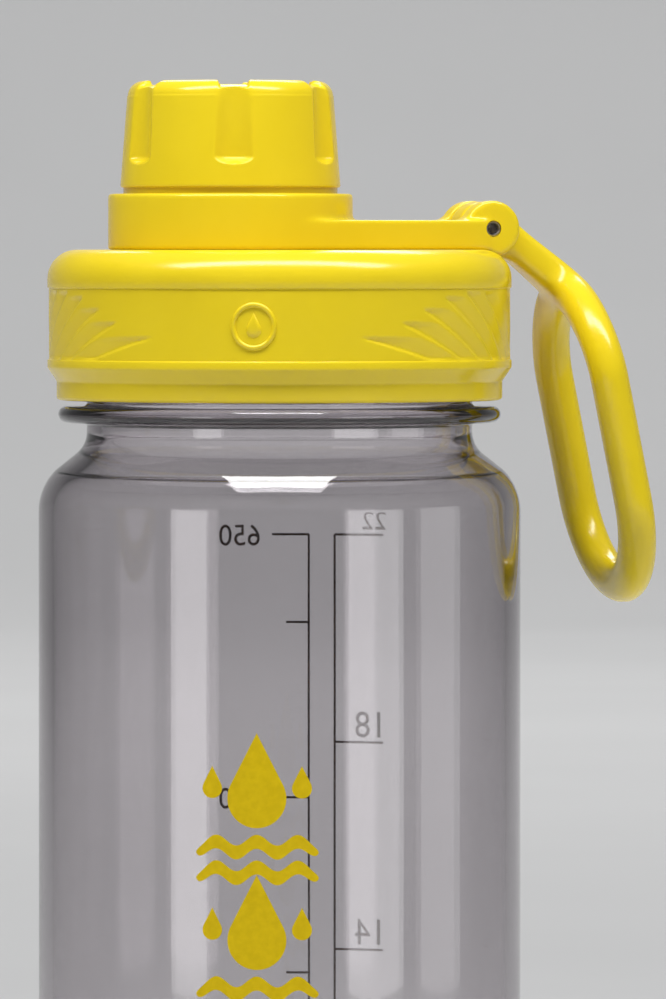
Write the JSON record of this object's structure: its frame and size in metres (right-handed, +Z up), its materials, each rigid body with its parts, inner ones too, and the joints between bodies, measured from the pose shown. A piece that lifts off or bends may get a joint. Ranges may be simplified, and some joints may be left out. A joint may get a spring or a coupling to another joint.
{
  "type": "water bottle",
  "caption": "Clear round bottle with a threaded neck, a screw lid with an off-centre spout under its own screw cap, and a carry loop hinged at the lid's rim.",
  "frame": {"origin": "centre of the standing plane under the base, on the body's axis", "axes": "+Z up along the body's axis, +X towards the carry loop's hinge, the hinge pin along Y"},
  "size_m": [0.0936, 0.073, 0.2566],
  "materials": {
    "clear_body": "clear, faintly smoky copolyester, polished",
    "yellow_plastic": "moulded polypropylene, satin",
    "natural_plastic": "uncoloured polypropylene",
    "silicone": "matt silicone rubber",
    "pin_steel": "rolled stainless steel",
    "scale_ink": "screen-printed ink, satin",
    "front_ink": "screen-printed ink, satin"
  },
  "bodies": {
    "bottle": {"bottle_body": "clear_body", "ml_scale_print": "scale_ink", "oz_scale_print": "scale_ink", "front_print": "front_ink"},
    "lid_seal": {"lid_gasket": "silicone"},
    "lid": {"lid_shell": "yellow_plastic", "lid_liner": "natural_plastic", "carry_arm": "yellow_plastic", "hinge_pin": "pin_steel"},
    "loop": {"carry_loop": "yellow_plastic"},
    "cap_seal": {"cap_gasket": "silicone"},
    "cap": {"cap_shell": "yellow_plastic", "cap_liner": "natural_plastic"}
  },
  "joints": [
    {"name": "lid_rise", "type": "slide", "parent": "bottle", "child": "lid_seal", "axis": [0, 0, 1], "range_m": [0, 0.018]},
    {"name": "lid_turn", "type": "hinge", "parent": "lid_seal", "child": "lid", "pos_m": [0, 0, 0.23], "axis": [0, 0, 1], "range_deg": [0, 1440]},
    {"name": "loop_swing", "type": "hinge", "parent": "lid", "child": "loop", "pos_m": [0.0317, 0, 0.2343], "axis": [0, -1, 0], "range_deg": [0, 160]},
    {"name": "cap_rise", "type": "slide", "parent": "lid", "child": "cap_seal", "axis": [0, 0, 1], "range_m": [0, 0.012]},
    {"name": "cap_turn", "type": "hinge", "parent": "cap_seal", "child": "cap", "pos_m": [-0.0077, 0, 0.25], "axis": [0, 0, 1], "range_deg": [0, 1440]}
  ],
  "couplings": [
    {"joint": "lid_rise", "follows": "lid_turn", "m_per_rad": 0.0007162},
    {"joint": "cap_rise", "follows": "cap_turn", "m_per_rad": 0.00047746}
  ]
}
